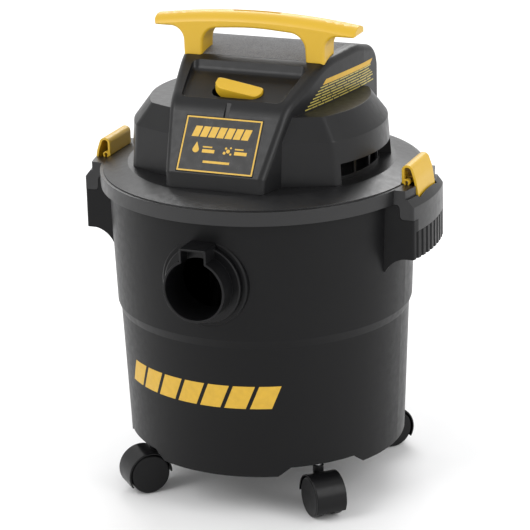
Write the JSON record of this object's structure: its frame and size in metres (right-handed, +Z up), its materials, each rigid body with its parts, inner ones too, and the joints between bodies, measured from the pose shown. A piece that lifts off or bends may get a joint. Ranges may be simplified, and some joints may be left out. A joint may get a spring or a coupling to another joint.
{
  "type": "wet and dry shop vacuum",
  "caption": "Small black wet and dry shop vacuum: round tank on swivel casters, clamped motor head, yellow handle, latches and rocker switch, hose port in front.",
  "frame": {"origin": "on the floor, directly under the tank's axis", "axes": "+Z up along the tank's axis; -Y towards the hose port, the switch and the front plate; the latches are at -X and +X"},
  "size_m": [0.368, 0.3465, 0.4913],
  "materials": {
    "black_tank_plastic": "fine-grained moulded polypropylene",
    "black_satin_plastic": "satin moulding",
    "black_wheel_plastic": "satin moulding",
    "yellow_plastic": "semi-gloss moulding",
    "front_plate": "satin printed plate",
    "plated_steel": "zinc plated",
    "sheet_aluminium": "pressed sheet",
    "cast_aluminium": "die cast",
    "lamination_steel": "varnished laminations",
    "copper": "enamelled winding",
    "brass": "drawn",
    "carbon": "pressed carbon",
    "rubber": "moulded",
    "white_plastic": "moulded",
    "foam": "open-cell foam"
  },
  "bodies": {
    "tank": {"tank": "black_tank_plastic", "inlet_port": "black_satin_plastic", "inlet_gasket": "rubber", "inlet_nut": "black_satin_plastic", "caster_stem_front_right": "plated_steel", "caster_stem_rear_right": "plated_steel", "caster_stem_rear_left": "plated_steel", "caster_stem_front_left": "plated_steel"},
    "head": {"lid": "black_tank_plastic", "lid_gasket": "rubber", "head_cover": "black_tank_plastic", "cover_screws": "plated_steel", "blower_port": "black_satin_plastic", "cord_gland": "rubber", "badge_plate": "front_plate", "handle": "yellow_plastic", "handle_screws": "plated_steel", "switch_body": "black_satin_plastic", "latch_pin_left": "plated_steel", "latch_pin_right": "plated_steel", "fan_shroud": "sheet_aluminium", "motor_gasket": "rubber", "motor_plate": "cast_aluminium", "motor_frame": "cast_aluminium", "stator": "lamination_steel", "field_coils": "copper", "brush_holders": "brass", "brushes": "carbon", "bearing_lower": "plated_steel", "bearing_upper": "plated_steel", "float_cage": "black_satin_plastic", "foam_sleeve": "foam", "filter_ring": "rubber"},
    "rotor": {"rotor_shaft": "plated_steel", "armature": "lamination_steel", "commutator": "copper", "impeller": "sheet_aluminium", "cooling_fan": "white_plastic"},
    "float": {"float_ball": "white_plastic"},
    "rocker": {"switch_rocker": "yellow_plastic"},
    "latch_left": {"latch_left": "yellow_plastic"},
    "latch_right": {"latch_right": "yellow_plastic"},
    "caster_front_right": {"caster_hood_front_right": "black_satin_plastic", "caster_axle_front_right": "plated_steel"},
    "wheel_a_front_right": {"caster_wheel_a_front_right": "black_wheel_plastic"},
    "wheel_b_front_right": {"caster_wheel_b_front_right": "black_wheel_plastic"},
    "caster_rear_right": {"caster_hood_rear_right": "black_satin_plastic", "caster_axle_rear_right": "plated_steel"},
    "wheel_a_rear_right": {"caster_wheel_a_rear_right": "black_wheel_plastic"},
    "wheel_b_rear_right": {"caster_wheel_b_rear_right": "black_wheel_plastic"},
    "caster_rear_left": {"caster_hood_rear_left": "black_satin_plastic", "caster_axle_rear_left": "plated_steel"},
    "wheel_a_rear_left": {"caster_wheel_a_rear_left": "black_wheel_plastic"},
    "wheel_b_rear_left": {"caster_wheel_b_rear_left": "black_wheel_plastic"},
    "caster_front_left": {"caster_hood_front_left": "black_satin_plastic", "caster_axle_front_left": "plated_steel"},
    "wheel_a_front_left": {"caster_wheel_a_front_left": "black_wheel_plastic"},
    "wheel_b_front_left": {"caster_wheel_b_front_left": "black_wheel_plastic"}
  },
  "joints": [
    {"name": "head_lift", "type": "slide", "parent": "tank", "child": "head", "axis": [0, 0, 1], "range_m": [0, 0.2]},
    {"name": "latch_right_swing", "type": "hinge", "parent": "head", "child": "latch_right", "pos_m": [0.1637, 0, 0.3346], "axis": [0, 1, 0], "range_deg": [0, 22]},
    {"name": "latch_left_swing", "type": "hinge", "parent": "head", "child": "latch_left", "pos_m": [-0.1637, 0, 0.3346], "axis": [0, -1, 0], "range_deg": [0, 22]},
    {"name": "rocker_tilt", "type": "hinge", "parent": "head", "child": "rocker", "pos_m": [0, -0.05563, 0.41656], "axis": [0, -0.9272, -0.3746], "range_deg": [0, 24]},
    {"name": "motor_spin", "type": "hinge", "parent": "head", "child": "rotor", "pos_m": [0, 0, 0.34], "axis": [0, 0, 1], "continuous": true},
    {"name": "float_rise", "type": "slide", "parent": "head", "child": "float", "axis": [0, 0, 1], "range_m": [0, 0.085]},
    {"name": "swivel_front_right", "type": "hinge", "parent": "tank", "child": "caster_front_right", "pos_m": [0.09051, -0.09051, 0.045], "axis": [0, 0, 1], "continuous": true},
    {"name": "roll_a_front_right", "type": "hinge", "parent": "caster_front_right", "child": "wheel_a_front_right", "pos_m": [0.09829, -0.09829, 0.021], "axis": [0.7071, 0.7071, 0], "continuous": true},
    {"name": "roll_b_front_right", "type": "hinge", "parent": "caster_front_right", "child": "wheel_b_front_right", "pos_m": [0.09829, -0.09829, 0.021], "axis": [0.7071, 0.7071, 0], "continuous": true},
    {"name": "swivel_rear_right", "type": "hinge", "parent": "tank", "child": "caster_rear_right", "pos_m": [0.09051, 0.09051, 0.045], "axis": [0, 0, 1], "continuous": true},
    {"name": "roll_a_rear_right", "type": "hinge", "parent": "caster_rear_right", "child": "wheel_a_rear_right", "pos_m": [0.09829, 0.09829, 0.021], "axis": [-0.7071, 0.7071, 0], "continuous": true},
    {"name": "roll_b_rear_right", "type": "hinge", "parent": "caster_rear_right", "child": "wheel_b_rear_right", "pos_m": [0.09829, 0.09829, 0.021], "axis": [-0.7071, 0.7071, 0], "continuous": true},
    {"name": "swivel_rear_left", "type": "hinge", "parent": "tank", "child": "caster_rear_left", "pos_m": [-0.09051, 0.09051, 0.045], "axis": [0, 0, 1], "continuous": true},
    {"name": "roll_a_rear_left", "type": "hinge", "parent": "caster_rear_left", "child": "wheel_a_rear_left", "pos_m": [-0.09829, 0.09829, 0.021], "axis": [-0.7071, -0.7071, 0], "continuous": true},
    {"name": "roll_b_rear_left", "type": "hinge", "parent": "caster_rear_left", "child": "wheel_b_rear_left", "pos_m": [-0.09829, 0.09829, 0.021], "axis": [-0.7071, -0.7071, 0], "continuous": true},
    {"name": "swivel_front_left", "type": "hinge", "parent": "tank", "child": "caster_front_left", "pos_m": [-0.09051, -0.09051, 0.045], "axis": [0, 0, 1], "continuous": true},
    {"name": "roll_a_front_left", "type": "hinge", "parent": "caster_front_left", "child": "wheel_a_front_left", "pos_m": [-0.09829, -0.09829, 0.021], "axis": [0.7071, -0.7071, 0], "continuous": true},
    {"name": "roll_b_front_left", "type": "hinge", "parent": "caster_front_left", "child": "wheel_b_front_left", "pos_m": [-0.09829, -0.09829, 0.021], "axis": [0.7071, -0.7071, 0], "continuous": true}
  ]
}
